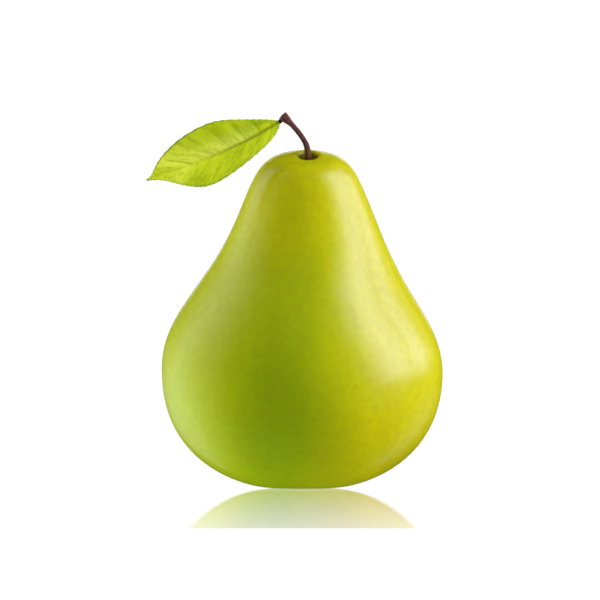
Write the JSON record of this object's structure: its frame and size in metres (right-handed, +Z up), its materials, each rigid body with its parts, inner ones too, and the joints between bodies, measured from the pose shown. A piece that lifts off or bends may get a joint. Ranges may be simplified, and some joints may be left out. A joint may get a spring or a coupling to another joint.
{
  "type": "pear",
  "caption": "Fresh green-yellow pear standing upright on its base, with a curved woody stem, a toothed leaf and a dried calyx underneath.",
  "frame": {"origin": "middle of the whole part's base, on the surface it stands on; the fruit's own axis stands 2.05 mm right of it", "axes": "+Z up along the fruit, -Y towards the viewer of the picture, +X to the right, away from the leaf"},
  "size_m": [0.0841, 0.08, 0.1062],
  "materials": {
    "skin": "waxy green-yellow pear skin, greener on the left, with fine darker spots",
    "wood": "dark red-brown woody stalk, dull, ridged along its length",
    "leaf": "fresh bright green leaf, soft sheen, sunken veins",
    "dry_sepal": "dry brown sepals, matte"
  },
  "bodies": {
    "root": {"fruit": "skin", "stem": "wood", "leaf": "leaf", "calyx": "dry_sepal"}
  },
  "joints": []
}
